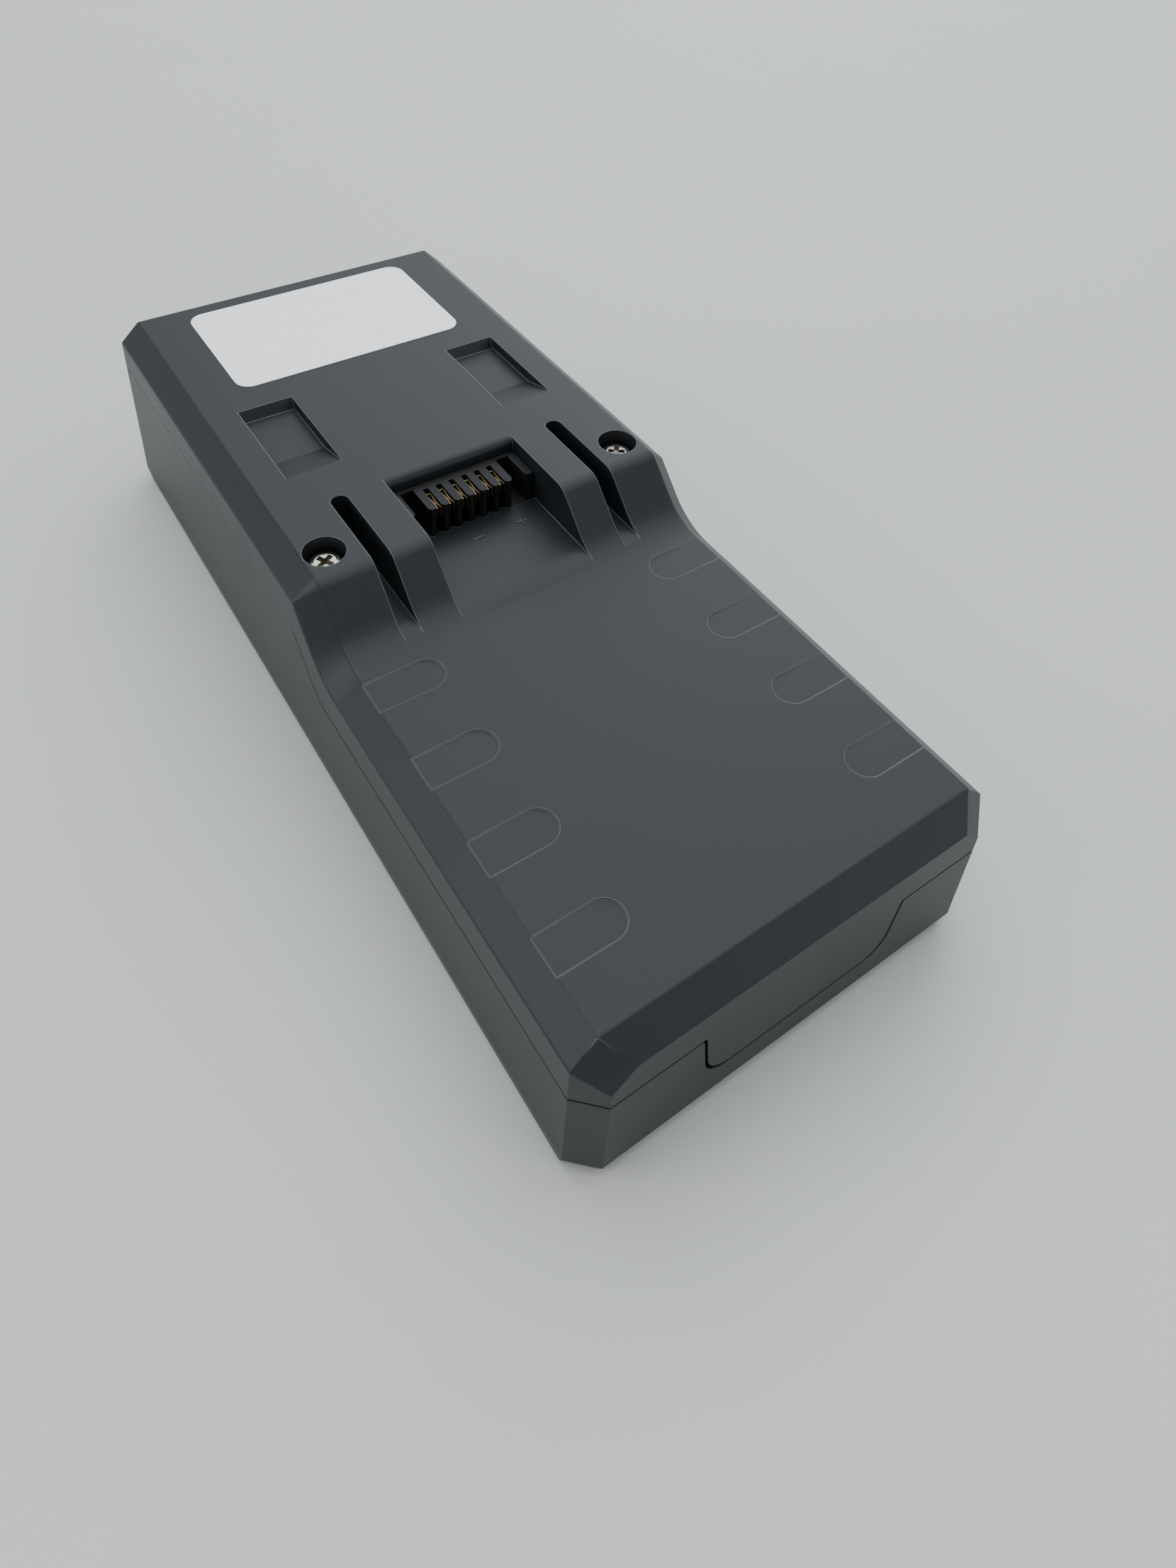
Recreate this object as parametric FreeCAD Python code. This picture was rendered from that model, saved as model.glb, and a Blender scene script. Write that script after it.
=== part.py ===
import FreeCAD, Part
import math
import os

os.makedirs("parts", exist_ok=True)
V = FreeCAD.Vector

# Slide-in battery pack of a cordless vacuum cleaner, in millimetres.
# Origin: middle of the pack, on the face it rests on. X runs across the pack,
# Y from the low near end (-Y) to the labelled far end (+Y), Z up to the terminals.

# Cells: two banks of three 18650 cells, end to end. With the room round them they set the overall size.
CELL_R, CELL_LEN = 9.2, 65.0
CELL_CAP, CELL_CAP_R = 0.5, 2.9
CELL_GAP = 0.5                        # between cells side by side
BANK_GAP = 7.4                        # between the banks, for the screw bosses
SIDE_ROOM, END_ROOM = 0.9, 3.3        # from the cells to the walls
TAPE, FOAM = 0.4, 2.4                 # under the cells, and over them to the low deck
WALL = 2.0

# Outer form
WIDTH = 6 * CELL_R + 2 * (CELL_GAP + SIDE_ROOM + WALL)
LENGTH = 2 * (CELL_LEN + END_ROOM + WALL) + BANK_GAP
LOW_TOP = 2 * (CELL_R + WALL) + TAPE + FOAM
STEP_RISE = 8.0
HIGH_TOP = LOW_TOP + STEP_RISE
SCREW_X, SCREW_Y = WIDTH / 2 - 6.5, LENGTH / 2 + 0.5
STEP_FOOT = SCREW_Y - 13.0            # near end to the foot of the step's slope
STEP_ANGLE = 45.0
STEP_HOLLOW, STEP_CROWN = 9.0, 3.0    # radii at the foot and at the crown of the step
BEVEL, DECK_EDGE = 3.3, 0.6           # bevel round both decks, and the radius where it meets them
CORNER = 3.2                          # upright corner chamfer, seen from above
CORNER_FADE = 3.0                     # how far the corner facet runs along the end bevel
FOOT_SIDE, FOOT_END, FOOT_HEIGHT = 0.4, 1.2, 2.6   # taper at the bottom, along the sides and at the ends

# Parting line of the two shells
PART_LOW, PART_HIGH = LOW_TOP - 8.7, HIGH_TOP - 8.2
PART_FOOT = STEP_FOOT + 3.1           # near end to the foot of its rise
PART_RADIUS = 5.0
SEAM = 0.3
LIP, LIP_HEIGHT, LIP_PLAY = 0.9, 1.2, 0.1
TAB_TOP, TAB_FOOT = 15.0, 13.6        # half widths of the cover's end tongue
TAB_LENGTH, TAB_DEPTH = 9.2, 1.1
TAB_ROUND, TAB_FLARE, TAB_GAP = 4.0, 0.5, 0.35
HOOK_X, HOOK_W, HOOK_Z = 10.0, 6.0, 10.5

# Openings in the raised deck
CHANNEL_FLOOR = LOW_TOP + 0.8
CHANNEL_RAMP, CHANNEL_ROUND = 14.0, 12.0  # slope and rounding where the floors run out onto the low deck
LINER = 1.4
BAY_HALF, BAY_BACK = 10.9, SCREW_Y + 8.9
SLOT_W, SLOT_OUT, SLOT_BACK = 2.7, SCREW_X - 4.9, SCREW_Y + 9.9
SLOT_IN = SLOT_OUT - SLOT_W
BAY_RIM = 1.3                         # rounding of the top edge of the bay's back wall
POCKET_IN, POCKET_OUT = 14.0, 22.8
POCKET_BACK = SCREW_Y + 0.494 * (LENGTH - SCREW_Y)
POCKET_RAMP, POCKET_FRONT = POCKET_BACK - 12.8, POCKET_BACK - 19.2
POCKET_DEPTH, POCKET_LEAN = 1.8, 1.0
WELL, WELL_DEPTH, WELL_FLOOR = 3.0, 3.3, 1.5
PAD_COUNT, PAD_FIRST, PAD_PITCH = 4, STEP_FOOT - 4.6, STEP_FOOT / 4.5
PAD_WIDTH, PAD_TIP, PAD_DEPTH, PAD_SHALLOW = 5.2, 17.3, 0.25, 0.08
LABEL_W, LABEL_L, LABEL_ROUND, LABEL_THICK = 40.4, 25.4, 2.6, 0.12
LABEL_MARGIN = 6.2                    # from the label to the far end

# Links, papers and the ribs that hold the cells
LINK, LINK_W = 0.2, 6.0
END_FOAM_W, END_FOAM_LOW, END_FOAM_HIGH = 10.0, 14.2, 6.2   # width, and faces below the cells' tops
RING = 0.25
STRIP_W, STRIP_INSET = 6.0, 3.0
CRADLE, CRADLE_HEIGHT, CRADLE_INSET = 1.2, 6.0, 8.8

# Board, terminal block and contacts
BLOCK_HALF, BLOCK_TOP = 10.7, HIGH_TOP - 2.2
BLOCK_FRONT, BLOCK_BACK = SCREW_Y + 2.5, SCREW_Y + 8.7
BOARD_T, BOARD_SIDE = 1.2, 2.0        # thickness, and the room to the side walls
BOARD_START, BOARD_END = BLOCK_FRONT + 0.6, LENGTH - 14.4
BOARD_GAP = 0.2                       # from the board to the level of the low deck's inside
BOSS_X, BOSS_Y, BOSS_R = 22.0, BOARD_END - 7.6, 2.0
PIN_COUNT, PIN_PITCH, PIN_SLOT = 6, 2.15, 0.9
NOSE, NOSE_LENGTH, SLOT_END = 0.35, 0.5, 1.4   # taper of the fins' fronts, and the wall behind the slots
KEY_IN, KEY_OUT = 7.1, 9.3
CONTACT_T, CONTACT_LENGTH, LEAF_HEIGHT = 0.18, 3.7, 1.6
SENSE_R, LEAD_R = 0.45, 1.0
LEAD_RISE, SENSE_RISE = 11.4, 8.4     # front of the board to where the wires from the near end come up
CHIP_Y = BOARD_START + 30.4
TRANSISTOR_X, TRANSISTOR_Y = 16.0, BOARD_START + 18.4

# Screws
SHANK, HEAD, HEAD_H, SCREW_LEN = 1.1, 2.25, 1.5, 10.0
BOSS = 2.4

# Worked out from the values above
NEAR = -LENGTH / 2
FAR = LENGTH / 2
HALF = WIDTH / 2
CELL_PITCH = 2 * CELL_R + CELL_GAP
CELL_Z = WALL + TAPE + CELL_R
CELL_TOP = CELL_Z + CELL_R
PITCH_X = (-CELL_PITCH, 0.0, CELL_PITCH)
NEAR_CELLS = WALL + END_ROOM
FAR_CELLS = NEAR_CELLS + CELL_LEN + BANK_GAP
CELLS_END = FAR_CELLS + CELL_LEN
BOARD_Z = LOW_TOP - WALL - BOARD_GAP
BOARD_TOP = BOARD_Z + BOARD_T
SEAT_Z = HIGH_TOP - WELL_DEPTH
BOSS_TOP = SEAT_Z - WELL_FLOOR
SLOT_Z = BOARD_TOP + 1.2


def at(distance):
    """Y of a point given by its distance from the near end."""
    return NEAR + distance


def box(x0, x1, y0, y1, z0, z1):
    return Part.makeBox(x1 - x0, y1 - y0, z1 - z0, V(x0, y0, z0))


def rod(x, y, z, radius, height, axis=V(0, 0, 1)):
    return Part.makeCylinder(radius, height, V(x, y, z), axis)


def prism(points, travel):
    return Part.Face(Part.makePolygon([V(*p) for p in points + points[:1]])).extrude(V(*travel))


def mirrored(shape):
    return shape.mirror(V(0, 0, 0), V(1, 0, 0))


def joined(shapes):
    first, rest = shapes[0], shapes[1:]
    return first.multiFuse(rest).removeSplitter() if rest else first


def clean(shape):
    """The one solid of a result, without leftover seams."""
    whole = shape.removeSplitter()
    return whole.Solids[0] if len(whole.Solids) == 1 else whole


def filleted(corners, radii):
    """Open chain of edges through the corners, rounded where a radius is given."""
    edges, last = [], corners[0]
    for i in range(1, len(corners) - 1):
        a, b, c = corners[i - 1], corners[i], corners[i + 1]
        if not radii[i - 1]:
            edges.append(Part.makeLine(last, b))
            last = b
            continue
        into, out = (b - a).normalize(), (c - b).normalize()
        turn = into.getAngle(out)
        reach = radii[i - 1] * math.tan(turn / 2)
        p, q = b - into * reach, b + out * reach
        middle = b + (out - into).normalize() * (radii[i - 1] / math.cos(turn / 2) - radii[i - 1])
        edges += [Part.makeLine(last, p), Part.Arc(p, middle, q).toShape()]
        last = q
    return edges + [Part.makeLine(last, corners[-1])]


def step_wire(x, low, high, foot, radii, ends, bottom):
    """Closed outline at one X: level, up the step, level again, and square below."""
    rise = (high - low) / math.tan(math.radians(STEP_ANGLE))
    corners = [V(x, ends[0], low), V(x, at(foot), low), V(x, at(foot) + rise, high), V(x, ends[1], high)]
    below = [V(x, ends[1], bottom), V(x, ends[0], bottom)]
    edges = filleted(corners, radii)
    edges += [Part.makeLine(corners[-1], below[0]), Part.makeLine(below[0], below[1]),
              Part.makeLine(below[1], corners[0])]
    return Part.Wire(edges)


def deck_wire(x, drop, ends, bottom):
    """Outline of the decks at one X, set back from the top surface by a drop square to it."""
    foot = STEP_FOOT + drop * math.tan(math.radians(STEP_ANGLE / 2))
    radii = (STEP_HOLLOW + drop, max(STEP_CROWN - drop, 0.3))
    return step_wire(x, LOW_TOP - drop, HIGH_TOP - drop, foot, radii, ends, bottom)


def under(wire, width):
    return Part.Face(wire).extrude(V(width, 0, 0))


def plan_wire(side, end, z):
    """The pack seen from above, set in at the sides and ends: a rectangle with its four corners cut off."""
    x, y = HALF - side, LENGTH / 2 - end
    c = CORNER - side * (2 - math.sqrt(2))
    ring = [(x - c, -y), (x, c - y), (x, y - c), (x - c, y), (c - x, y), (-x, y - c), (-x, c - y), (c - x, -y)]
    return Part.makePolygon([V(px, py, z) for px, py in ring + ring[:1]])


def corner_facet(inset, sy, end, top):
    """What the facet takes off one left-hand corner, above the upright chamfer."""
    c = CORNER - inset * (2 - math.sqrt(2))
    bevel = BEVEL - inset * (2 - math.sqrt(2))
    x0, y0 = -HALF + inset, end + sy * inset
    peak = V(x0 + bevel, y0 + sy * bevel, top - inset)
    side = V(x0, y0 + sy * c, top - inset - bevel)
    face = V(x0 + c + CORNER_FADE, y0, top - inset - bevel)
    normal = (side - peak).cross(face - peak).normalize()
    normal = normal * (1 if normal.z > 0 else -1)
    across = (side - peak).normalize()
    along = normal.cross(across)
    ring = [peak + across * (a * 14) + along * (b * 14) for a, b in ((-1, -1), (1, -1), (1, 1), (-1, 1))]
    ys = sorted((y0 - sy * 2, y0 + sy * (bevel + 1)))
    reach = box(x0 - 2, x0 + c + CORNER_FADE, ys[0], ys[1], top - 20, top + 5)
    return prism([(p.x, p.y, p.z) for p in ring], tuple(normal * 12)).common(reach)


def pack_form(inset):
    """The closed outer form of the pack, or the same form set in by a wall."""
    ends, half = (NEAR + inset, FAR - inset), HALF - inset
    bevel = BEVEL - inset * (2 - math.sqrt(2))
    form = under(deck_wire(bevel - half, inset, ends, inset), 2 * (half - bevel))
    side = Part.makeLoft([deck_wire(half - bevel, inset, ends, inset),
                          deck_wire(half, inset + bevel, ends, inset)], True, True)
    form = form.multiFuse([side, mirrored(side)]).removeSplitter()
    foot = 0 if inset else FOOT_HEIGHT
    plan = Part.Face(plan_wire(inset, inset, inset + foot)).extrude(V(0, 0, HIGH_TOP))
    if foot:
        plan = plan.fuse(Part.makeLoft([plan_wire(FOOT_SIDE, FOOT_END, 0), plan_wire(0, 0, foot)], True, True))
    form = form.common(plan)
    for sy, end, top in ((1, NEAR, LOW_TOP), (-1, FAR, HIGH_TOP)):
        y0, z0 = end + sy * inset, top - inset
        wedge = prism([(-HALF - 1, y0 - sy, z0 - bevel - 1), (-HALF - 1, y0 + sy * (bevel + 1), z0 + 1),
                       (-HALF - 1, y0 - sy, z0 + 1)], (WIDTH + 2, 0, 0))
        facet = corner_facet(inset, sy, end, top)
        form = form.cut(wedge).cut(facet).cut(mirrored(facet))
    return form.removeSplitter()


def below_parting(raise_by):
    """Everything below the parting line, moved up or down."""
    wire = step_wire(-HALF - 5, PART_LOW + raise_by, PART_HIGH + raise_by, PART_FOOT,
                     (PART_RADIUS, PART_RADIUS), (NEAR - 5, FAR + 5), -5)
    return under(wire, WIDTH + 10)


def tab_outline(grow):
    """Face of the cover's end tongue, in the plane of the near end, with flared shoulders."""
    seam = PART_LOW + SEAM / 2 - (SEAM if grow else 0)
    top, shoulder, foot = seam + SEAM + 0.5, TAB_TOP + grow, TAB_FOOT + grow
    bottom = PART_LOW - TAB_LENGTH - grow
    left = [V(-shoulder - 3, 0, top), V(-shoulder - 3, 0, seam), V(-shoulder, 0, seam), V(-foot, 0, bottom)]
    pts = left + [V(-p.x, 0, p.z) for p in reversed(left)]
    edges = filleted(pts, (0, TAB_FLARE, TAB_ROUND, TAB_ROUND, TAB_FLARE, 0))
    return Part.Face(Part.Wire(edges + [Part.makeLine(pts[-1], pts[0])]))


def tab_solid(grow, depth):
    face = tab_outline(grow)
    face.translate(V(0, NEAR - 1, 0))
    return face.extrude(V(0, depth + 1, 0))


def soften(form):
    """The outer form with a small radius where the decks meet their bevels; it runs on up the step."""
    rims = [e for e in form.Edges if e.BoundBox.ZLength < 0.01 and e.BoundBox.ZMin > LOW_TOP - 0.01
            and (e.BoundBox.XLength < 0.01 or abs(e.BoundBox.YMin) > FAR - BEVEL - 0.01)]
    return form.makeFillet(DECK_EDGE, rims)


OUTER, INNER = soften(pack_form(0)), pack_form(WALL)


def channel(inner, outer, back):
    """Cut of a channel whose floor runs out onto the low deck, in line with the hollow of the step."""
    slope = math.radians(CHANNEL_RAMP)
    start = at(STEP_FOOT) - STEP_HOLLOW * (math.tan(math.radians(STEP_ANGLE / 2)) - math.sin(slope))
    low = LOW_TOP + STEP_HOLLOW * (1 - math.cos(slope)) + 0.01
    crest = start + (CHANNEL_FLOOR - low) / math.tan(slope)
    top = HIGH_TOP + 2
    pts = [V(inner, start, top), V(inner, start, low), V(inner, crest, CHANNEL_FLOOR),
           V(inner, at(back), CHANNEL_FLOOR), V(inner, at(back), top)]
    edges = filleted(pts, (0, CHANNEL_ROUND, 0)) + [Part.makeLine(pts[-1], pts[0])]
    return Part.Face(Part.Wire(edges)).extrude(V(outer - inner, 0, 0))


def slots():
    """The two guide slots, round at their closed ends."""
    r = (SLOT_OUT - SLOT_IN) / 2
    end = rod(SLOT_IN + r, at(SLOT_BACK) - r, CHANNEL_FLOOR, r, HIGH_TOP + 2 - CHANNEL_FLOOR)
    slot = channel(SLOT_IN, SLOT_OUT, SLOT_BACK - r).fuse(end)
    return [slot, mirrored(slot)]


def pocket(grow):
    """Cut of a ramped pocket with a steep back wall, or the block of material round it."""
    low, top = HIGH_TOP - POCKET_DEPTH - grow, HIGH_TOP - WALL / 4 if grow else HIGH_TOP
    x0, back = POCKET_IN - grow, at(POCKET_BACK) + grow
    ring = [(x0, back, top), (x0, back - POCKET_LEAN, low), (x0, at(POCKET_RAMP), low), (x0, at(POCKET_FRONT), top)]
    if not grow:
        ring = [(x0, back, top + 1)] + ring + [(x0, at(POCKET_FRONT), top + 1)]
    return prism(ring, (POCKET_OUT - POCKET_IN + 2 * grow, 0, 0))


def finger_pads():
    """Thumb recesses along both sides: deepest at the round tip, shallow where they meet the bevel."""
    pads = []
    r, edge, top = PAD_WIDTH / 2, HALF - BEVEL + 0.5, LOW_TOP + 1
    for i in range(PAD_COUNT):
        y = at(PAD_FIRST - i * PAD_PITCH)
        plan = box(PAD_TIP + r, edge, y - PAD_WIDTH, y, LOW_TOP - 1, top)
        plan = plan.fuse(rod(PAD_TIP + r, y - r, LOW_TOP - 1, r, 2))
        wedge = prism([(PAD_TIP, y - PAD_WIDTH, LOW_TOP - PAD_DEPTH), (edge, y - PAD_WIDTH, LOW_TOP - PAD_SHALLOW),
                       (edge, y - PAD_WIDTH, top), (PAD_TIP, y - PAD_WIDTH, top)], (0, PAD_WIDTH, 0))
        pad = plan.common(wedge)
        pads += [pad, mirrored(pad)]
    return pads


def hooks():
    """Spring hooks of the cover; each barb sits in a recess of the case's end walls."""
    made = []
    for y, out, z_top in ((at(WALL + 0.15), -1, LOW_TOP - WALL), (at(LENGTH - WALL - 0.15), 1, HIGH_TOP - WALL)):
        for x in (-HOOK_X - HOOK_W / 2, HOOK_X - HOOK_W / 2):
            ys = sorted((y, y - out * 1.0))
            arm = box(x, x + HOOK_W, ys[0], ys[1], HOOK_Z, z_top + 0.5)
            barb = prism([(x, y, HOOK_Z), (x, y + out * 0.7, HOOK_Z + 1.4), (x, y, HOOK_Z + 1.4)], (HOOK_W, 0, 0))
            made.append(arm.fuse(barb))
    return made


def on_back_rim(edge):
    """Whether an edge is the top edge of the terminal bay's back wall."""
    b = edge.BoundBox
    return abs(b.YMin - at(BAY_BACK)) < 0.01 and b.YLength < 0.01 and abs(b.ZMin - HIGH_TOP) < 0.01


def make_top_cover():
    shell = OUTER.cut(INNER)
    band = below_parting(SEAM / 2 + LIP_HEIGHT)
    rebate = pack_form(WALL - LIP - LIP_PLAY).cut(INNER).common(band)
    cover = shell.cut(below_parting(SEAM / 2)).cut(rebate)
    x, y = SCREW_X, at(SCREW_Y)
    under_deck = HIGH_TOP - WALL / 4
    trays = [(-BAY_HALF, BAY_HALF, BAY_BACK), (SLOT_IN, SLOT_OUT, SLOT_BACK), (-SLOT_OUT, -SLOT_IN, SLOT_BACK)]
    liners = [box(x0 - LINER, x1 + LINER, at(STEP_FOOT - 2), at(back) + LINER, CHANNEL_FLOOR - LINER, under_deck)
              for x0, x1, back in trays]
    posts = [pocket(LINER), rod(x, y, BOSS_TOP, WELL + LINER, under_deck - BOSS_TOP),
             rod(BOSS_X, at(BOSS_Y), BOARD_TOP, BOSS_R, under_deck - BOARD_TOP)]
    liners += posts + [mirrored(s) for s in posts]
    cover = joined([cover] + [s.common(OUTER) for s in liners])
    mouth, back = at(BLOCK_FRONT), at(BAY_BACK)
    side = box(KEY_IN - 0.1, BAY_HALF, mouth - 0.15, back, BOARD_TOP, HIGH_TOP - 1)
    cuts = [channel(-BAY_HALF, BAY_HALF, BAY_BACK), side, mirrored(side),
            box(-BAY_HALF, BAY_HALF, mouth + 0.35, back, BOARD_TOP, HIGH_TOP - 1)]
    cuts += slots() + [pocket(0), mirrored(pocket(0))]
    for sx in (-1, 1):
        cuts += [rod(sx * x, y, SEAT_Z, WELL, WELL_DEPTH + 2), rod(sx * x, y, BOSS_TOP - 1, SHANK + 0.15, 6)]
    cuts += [rod(pin_x(i - 0.5), mouth + 0.6, BOARD_TOP, 0.8, CHANNEL_FLOOR + 1 - BOARD_TOP)
             for i in range(PIN_COUNT + 1)]
    cover = clean(cover.cut(joined(cuts + finger_pads())))
    cover = cover.makeFillet(BAY_RIM, [e for e in cover.Edges if on_back_rim(e)])
    tab = tab_solid(0, TAB_DEPTH).common(OUTER)
    return clean(joined([cover, tab] + hooks()))


def make_bottom_case():
    shell = OUTER.cut(INNER).common(below_parting(-SEAM / 2))
    lip = pack_form(WALL - LIP).cut(INNER).common(below_parting(SEAM / 2 + LIP_HEIGHT))
    lip = lip.cut(below_parting(-SEAM / 2 - 1))
    case = shell.fuse(lip)
    x, y = SCREW_X, at(SCREW_Y)
    inside = HALF - WALL + 0.3
    starts = [bank + d for bank in (NEAR_CELLS, FAR_CELLS) for d in (CRADLE_INSET, CELL_LEN - CRADLE_INSET - CRADLE)]
    ribs = [box(-inside, inside, at(d), at(d) + CRADLE, WALL - 0.3, WALL + CRADLE_HEIGHT) for d in starts]
    trough = [rod(px, NEAR, CELL_Z, CELL_R + 0.15, LENGTH, V(0, 1, 0)) for px in PITCH_X]
    tape_room = STRIP_W / 2 + 0.4
    trough += [box(px - tape_room, px + tape_room, NEAR, FAR, WALL, WALL + TAPE + 0.8) for px in PITCH_X]
    ribs = joined(ribs).cut(joined(trough))
    web = box(-inside, inside, y - CRADLE / 2, y + CRADLE / 2, WALL - 0.3, WALL + CRADLE_HEIGHT)
    bosses = [rod(sx * x, y, WALL - 0.3, BOSS, BOSS_TOP - WALL + 0.3) for sx in (-1, 1)]
    case = joined([case, ribs, web] + bosses)
    cuts = [rod(sx * x, y, SEAT_Z - SCREW_LEN - 0.5, SHANK, SCREW_LEN + 5) for sx in (-1, 1)]
    cuts.append(tab_solid(TAB_GAP, TAB_DEPTH + TAB_GAP))
    for out in (-1, 1):
        for px in (-HOOK_X, HOOK_X):
            wall_y = (LENGTH / 2 - WALL) * out
            ys = sorted((wall_y, wall_y + out * 0.75))
            half = HOOK_W / 2 + 0.2
            cuts.append(box(px - half, px + half, ys[0], ys[1], HOOK_Z - 0.2, HOOK_Z + 1.6))
    return clean(case.cut(joined(cuts)))


def make_cell(x, start, towards):
    """18650 cell lying along Y; its raised positive cap points to +Y or -Y."""
    can = rod(0, 0, 0, CELL_R, CELL_LEN - CELL_CAP)
    cap = rod(0, 0, CELL_LEN - CELL_CAP - 0.2, CELL_CAP_R, CELL_CAP + 0.2)
    crimp = rod(0, 0, CELL_LEN - 4.2, CELL_R + 1, 1.2).cut(rod(0, 0, CELL_LEN - 4.2, CELL_R - 0.5, 1.2))
    cell = can.makeChamfer(0.4, [can.Edges[0], can.Edges[2]]).fuse(cap).cut(crimp)
    cell.rotate(V(0, 0, 0), V(1, 0, 0), -90 * towards)
    y = at(start) if towards > 0 else at(start) + CELL_LEN
    cell.translate(V(x, y, CELL_Z))
    return clean(cell)


def make_rings():
    rings = []
    for x, towards in zip(PITCH_X, (-1, 1, -1)):
        for start in (NEAR_CELLS, FAR_CELLS):
            y = at(start) + (CELL_LEN - CELL_CAP if towards > 0 else CELL_CAP - RING)
            ring = rod(x, y, CELL_Z, CELL_R - 0.6, RING, V(0, 1, 0))
            rings.append(ring.cut(rod(x, y - 1, CELL_Z, CELL_CAP_R + 0.2, 2, V(0, 1, 0))))
    return Part.makeCompound(rings)


def end_link(x0, x1, y):
    """Flat strip across two cell ends."""
    return box(x0 - LINK_W / 2, x1 + LINK_W / 2, y, y + LINK, CELL_Z - LINK_W / 2, CELL_Z + LINK_W / 2)


def mid_link(x):
    """Strip folded over between two cells that stand end to end."""
    y0, y1 = at(NEAR_CELLS + CELL_LEN), at(FAR_CELLS)
    z0, z1 = CELL_Z - LINK_W / 2, CELL_TOP - 0.9
    fold = box(x - LINK_W / 2, x + LINK_W / 2, y0, y1, z0, z1)
    return fold.cut(box(x - LINK_W, x + LINK_W, y0 + LINK, y1 - LINK, z0 - 1, z1 - LINK))


def valley_z(radius):
    """Height of a wire that lies in the valley between two cells."""
    return CELL_Z + math.sqrt((CELL_R + radius + 0.02) ** 2 - (CELL_PITCH / 2) ** 2)


def pole_tab(x, side, y):
    """Square on an end pole, with an arm that carries the lead in the next valley."""
    z = valley_z(LEAD_R)
    square = end_link(x, x, y)
    arm = sorted((x, x + side * (CELL_PITCH / 2 + 1)))
    return clean(square.fuse(box(arm[0], arm[1], y, y + LINK, z - 1.4, z + 1.4)))


def wire_run(points, radius, bend):
    """Round wire along straight runs, with a bend of one radius at each corner."""
    points = [V(*p) for p in points]
    parts, start = [], points[0]
    for before, corner, after in zip(points, points[1:], points[2:]):
        into, out = (corner - before).normalize(), (after - corner).normalize()
        bend_start, centre = corner - into * bend, corner - into * bend + out * bend
        parts.append(Part.makeCylinder(radius, (bend_start - start).Length, start, into))
        ring = Part.Face(Part.Wire(Part.Circle(bend_start, into, radius).toShape()))
        parts.append(ring.revolve(centre, into.cross(out), 90))
        start = corner + out * bend
    parts.append(Part.makeCylinder(radius, (points[-1] - start).Length, start, out))
    return joined(parts)


def valley_wire(x, y0, y1, radius):
    """Wire in the valley between two cells, turned up to the underside of the board."""
    z = valley_z(radius)
    return wire_run([(x, y0, z), (x, y1, z), (x, y1, BOARD_Z)], radius, 2.0 * radius)


def make_board():
    half = HALF - WALL - BOARD_SIDE
    board = box(-half, half, at(BOARD_START), at(BOARD_END), BOARD_Z, BOARD_TOP)
    return clean(board.cut(joined([pin_hole(i, 0.35) for i in range(PIN_COUNT)])))


def pin_x(i):
    return (i - (PIN_COUNT - 1) / 2) * PIN_PITCH


def pin_hole(i, half):
    y = at(BLOCK_FRONT + CONTACT_LENGTH)
    return box(pin_x(i) - half, pin_x(i) + half, y - half, y + half, BOARD_Z - 1, SLOT_Z + 0.1)


def blade_slot(x0, x1, back, z):
    """Slot of the block, open at the top and the front, where its sides flare."""
    front, y0, y1 = at(BLOCK_FRONT), at(BLOCK_FRONT + NOSE_LENGTH), at(back)
    ring = [(x0, y1, z), (x1, y1, z), (x1, y0, z), (x1 + NOSE, front, z), (x1 + NOSE, front - 1, z),
            (x0 - NOSE, front - 1, z), (x0 - NOSE, front, z), (x0, y0, z)]
    return prism(ring, (0, 0, BLOCK_TOP + 1 - z))


def make_terminal_block():
    block = box(-BLOCK_HALF, BLOCK_HALF, at(BLOCK_FRONT), at(BLOCK_BACK), BOARD_TOP, BLOCK_TOP)
    key = blade_slot(KEY_IN, KEY_OUT, BLOCK_BACK - SLOT_END / 2, CHANNEL_FLOOR)
    y = at(BLOCK_FRONT)
    cuts = [key, mirrored(key), box(-BLOCK_HALF, BLOCK_HALF, y, y + NOSE_LENGTH, BOARD_TOP, SLOT_Z)]
    for i in range(PIN_COUNT):
        x = pin_x(i)
        cuts.append(blade_slot(x - PIN_SLOT / 2, x + PIN_SLOT / 2, BLOCK_BACK - SLOT_END, SLOT_Z))
        cuts.append(pin_hole(i, 0.35))
    return clean(block.cut(joined(cuts)))


def make_contact(i):
    """Fork contact: two spring leaves, flared towards the blade, on a spine with a solder pin."""
    x, y0 = pin_x(i), at(BLOCK_FRONT + 0.3)
    y1, y2, y3 = y0 + 1.2, y0 + CONTACT_LENGTH - 0.6, y0 + CONTACT_LENGTH
    half, t, top = PIN_SLOT / 2 - 0.03, CONTACT_T, BLOCK_TOP - 0.4
    leaf = [(half, y0), (half - t, y0), (0.06, y1), (half - t, y2), (half - t, y3 - t)]
    outline = leaf + [(-px, py) for px, py in reversed(leaf)]
    outline += [(-half, y0), (-0.06 - t, y1), (-half, y2), (-half, y3), (half, y3), (half, y2), (0.06 + t, y1)]
    fork = prism([(x + px, py, top - LEAF_HEIGHT) for px, py in outline], (0, 0, LEAF_HEIGHT))
    spine = box(x - half, x + half, y3 - t, y3, SLOT_Z, top)
    pin = box(x - 0.3, x + 0.3, y3 - 0.6, y3, BOARD_Z - 0.6, SLOT_Z + 0.3)
    return clean(joined([fork, spine, pin]))


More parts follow.
